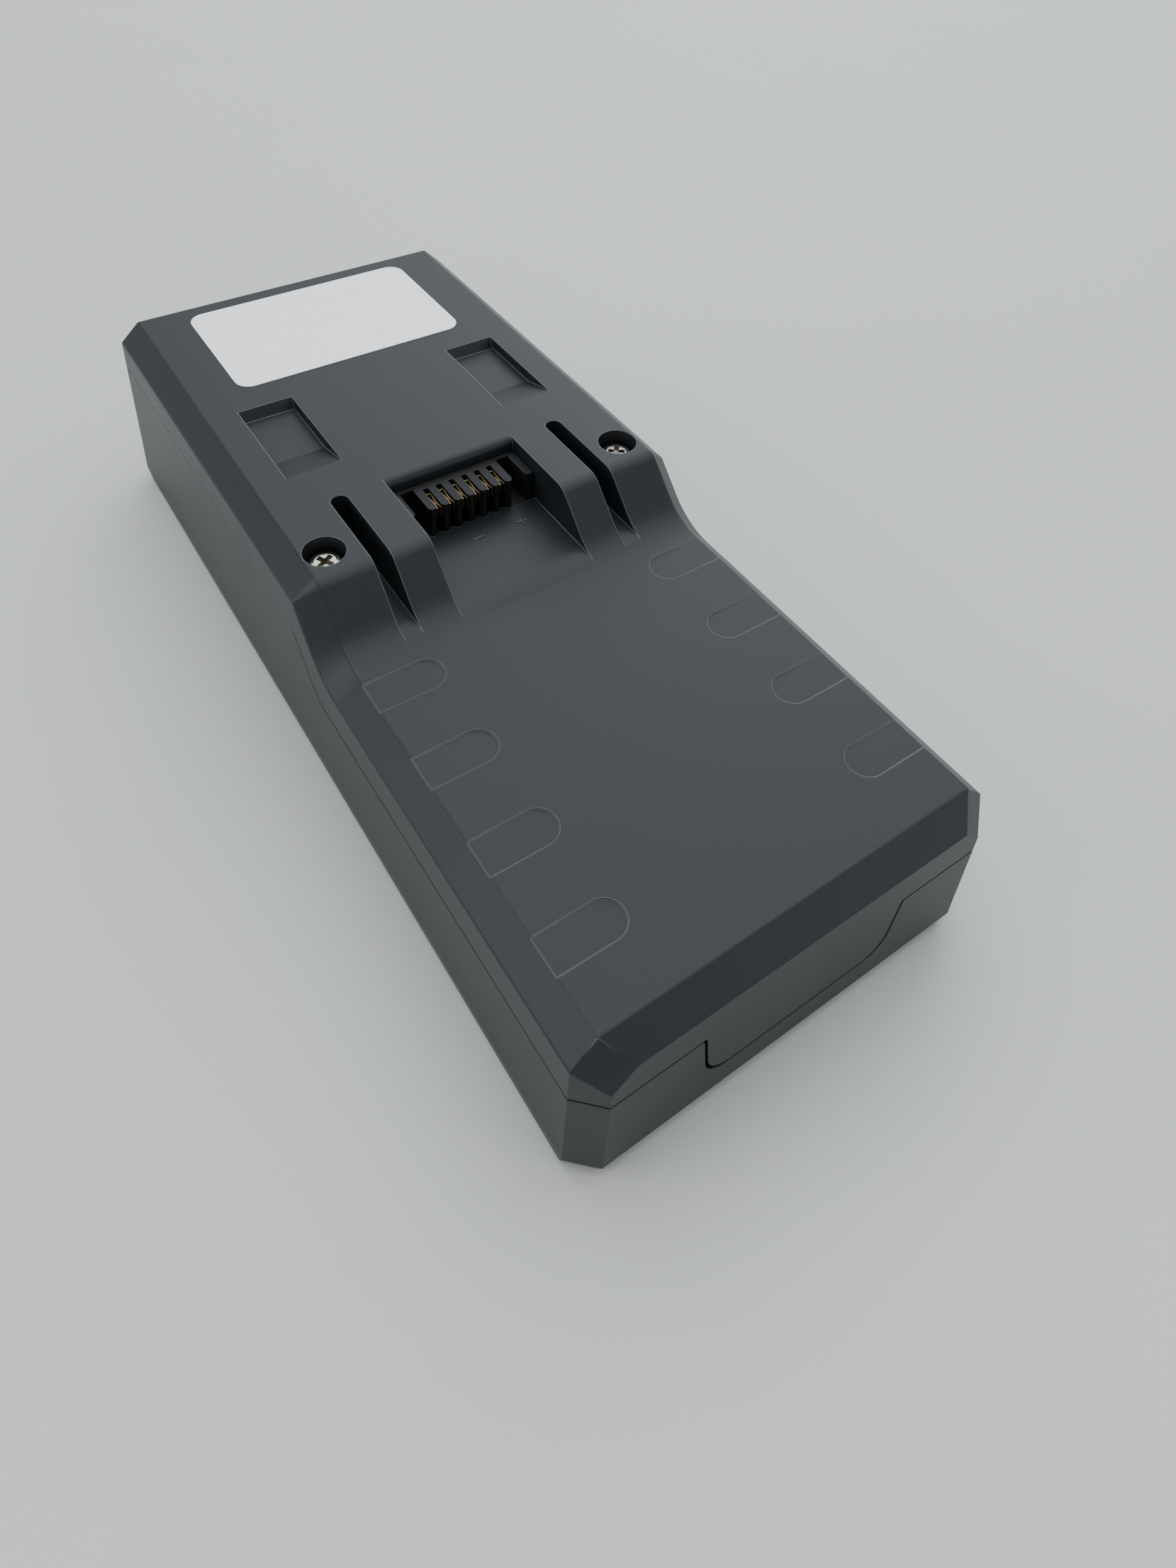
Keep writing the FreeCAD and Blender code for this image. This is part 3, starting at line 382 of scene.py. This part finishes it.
headed = plain_object(blank, "screw_blank")
punches = [plain_object(recess_wing(turned_by), "recess_punch") for turned_by in (0, pi / 2)]
for punch in punches:
    cut = headed.modifiers.new("recess", "BOOLEAN")
    cut.operation, cut.solver, cut.object = "DIFFERENCE", "EXACT", punch
bpy.context.view_layer.update()
punched = bpy.data.meshes.new_from_object(headed.evaluated_get(bpy.context.evaluated_depsgraph_get()))
screws = bmesh.new()
for sx, turned_by in ((-1, LEFT_TURN), (1, RIGHT_TURN)):
    before = set(screws.verts)
    screws.from_mesh(punched)
    ring = [screws.verts.new((r, 0, SCREW_TIP + TIP_H + dz))
            for r, dz in ((SHANK_R - THREAD_ROOT, -THREAD_FOOT), (THREAD_R, 0),
                          (SHANK_R - THREAD_ROOT, THREAD_FOOT))]
    sides = [screws.edges.new((ring[i], ring[(i + 1) % 3])) for i in range(3)]
    turns = (SCREW_TOP - HEAD_H - SCREW_TIP - TIP_H - THREAD_SHORT) / THREAD_PITCH
    bmesh.ops.spin(screws, geom=ring + sides, cent=(0, 0, 0), axis=(0, 0, 1), angle=2 * pi * turns,
                   dvec=(0, 0, THREAD_PITCH / THREAD_STEPS), steps=int(THREAD_STEPS * turns))
    new = [v for v in screws.verts if v not in before]
    bmesh.ops.holes_fill(screws, edges=[e for e in screws.edges if e.is_boundary], sides=3)
    bmesh.ops.rotate(screws, verts=new, cent=(0, 0, 0), matrix=Matrix.Rotation(turned_by, 3, "Z"))
    bmesh.ops.translate(screws, verts=new, vec=(sx * SCREW_X, SCREW_Y, 0))
bmesh.ops.recalc_face_normals(screws, faces=screws.faces)
bmesh.ops.scale(screws, verts=screws.verts, vec=(MM, MM, MM))
for helper in [headed] + punches:
    bpy.data.objects.remove(helper)
nickel_plate = rolled_metal("nickel_plated_steel", "#a5a199", "#bdb9b0", (0.14, 0.24), 0.6, (1.0, 1.0, 1.0))
case_screws = settled(screws, "threaded_case_screws", nickel_plate)
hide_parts("case_screws")

# Label: white vinyl film with an adhesive back, left blank. Its satin face has a fine
# tooth, and it lies in very shallow waves where it was smoothed on by hand.
vinyl, tree, shader, coords = new_material("white_vinyl_film")
tooth = add(tree, "TexNoise", values={"Scale": per_mm(0.5), "Detail": 3.0}, links={"Vector": coords})
lay = add(tree, "TexNoise", values={"Scale": per_mm(14.0), "Detail": 1.0}, links={"Vector": coords})
face = add(tree, "Mix", {"data_type": "RGBA"}, links={"Factor": tooth.outputs["Fac"]})
face.inputs["A"].default_value = paint("#f6f8fa")
face.inputs["B"].default_value = paint("#fbfcfd")
waves = add(tree, "Bump", values={"Strength": 0.5, "Distance": 0.25 * MM},
            links={"Height": lay.outputs["Fac"]})
nap = add(tree, "Bump", values={"Strength": 0.15, "Distance": 0.01 * MM},
          links={"Height": tooth.outputs["Fac"], "Normal": waves.outputs["Normal"]})
tree.links.new(face.outputs["Result"], shader.inputs["Base Color"])
tree.links.new(nap.outputs["Normal"], shader.inputs["Normal"])
shader.inputs["Roughness"].default_value = 0.45
finish_nodes(vinyl, "blank_label")

# Floor: a plain pale tabletop that the pack rests on. It isn't part of the object, and
# runs well past the frame on all sides.
floor_mesh = bpy.data.meshes.new("floor")
plane = bmesh.new()
bmesh.ops.create_grid(plane, x_segments=1, y_segments=1, size=2.5)
plane.to_mesh(floor_mesh)
plane.free()
floor = bpy.data.objects.new("floor", floor_mesh)
bpy.context.scene.collection.objects.link(floor)
tabletop, tree, shader, coords = new_material("pale_tabletop")
smudge = add(tree, "TexNoise", values={"Scale": per_mm(60.0), "Detail": 4.0}, links={"Vector": coords})
pale = add(tree, "Mix", {"data_type": "RGBA"}, links={"Factor": smudge.outputs["Fac"]})
pale.inputs["A"].default_value = paint("#c4c6c2")
pale.inputs["B"].default_value = paint("#c7c9c5")
tree.links.new(pale.outputs["Result"], shader.inputs["Base Color"])
shader.inputs["Roughness"].default_value = 0.6
floor_mesh.materials.append(tabletop)


# Studio light: one wide box overhead lights the deck, and small ones fill the left wall,
# the near end and the far side, in a dim room.
def soft_box(name, place, size, power, colour):
    """Square area light at a place in metres, turned towards the middle of the pack."""
    lamp = bpy.data.lights.new(name, "AREA")
    lamp.size, lamp.energy, lamp.color = size, power, paint(colour)[:3]
    holder = bpy.data.objects.new(name, lamp)
    holder.location = place
    holder.rotation_euler = (-Vector(place)).to_track_quat("-Z", "Y").to_euler()
    bpy.context.scene.collection.objects.link(holder)


soft_box("ceiling_box", (0.2, 0.4, 2.0), 3.0, 56.0, "#f3faff")
soft_box("window_box", (0.9, 1.3, 0.8), 1.2, 4.0, "#f3faff")
soft_box("left_box", (-1.4, 0.5, 0.7), 0.9, 8.0, "#ffffff")
soft_box("right_box", (1.6, 0.1, 0.7), 1.2, 1.5, "#f3faff")
soft_box("front_box", (0.9, -1.3, 0.5), 0.9, 2.1, "#fffdf8")
soft_box("far_box", (2.0, 1.6, 1.0), 1.6, 12.0, "#f3faff")

world = bpy.data.worlds.new("pale_room")
world.use_nodes = True
world.node_tree.nodes["Background"].inputs["Color"].default_value = paint("#f8fbff")
world.node_tree.nodes["Background"].inputs["Strength"].default_value = 0.6
bpy.context.scene.world = world

# Camera: where the photograph was taken from. The photograph is cropped off centre,
# so the optical axis lies above the middle of the frame.
FOCUS_PX, FRAME_PX = 1667.4, 2212
PHOTO_PLACE = Vector((-67.1, -115.8, 144.3)) * MM
HEADING, DOWN, ROLL = 37.35, 35.49, 4.30
AXIS_RIGHT_PX, AXIS_UP_PX = 24, 525
view = bpy.data.cameras.new("photo_camera")
view.lens = view.sensor_width * FOCUS_PX / FRAME_PX
view.shift_x, view.shift_y = -AXIS_RIGHT_PX / FRAME_PX, -AXIS_UP_PX / FRAME_PX
view.clip_start = 0.01
camera = bpy.data.objects.new("photo_camera", view)
turn = (Matrix.Rotation(radians(-HEADING), 4, "Z") @ Matrix.Rotation(radians(90 - DOWN), 4, "X")
        @ Matrix.Rotation(radians(ROLL), 4, "Z"))
camera.matrix_world = Matrix.Translation(PHOTO_PLACE) @ turn
bpy.context.scene.collection.objects.link(camera)
bpy.context.scene.camera = camera
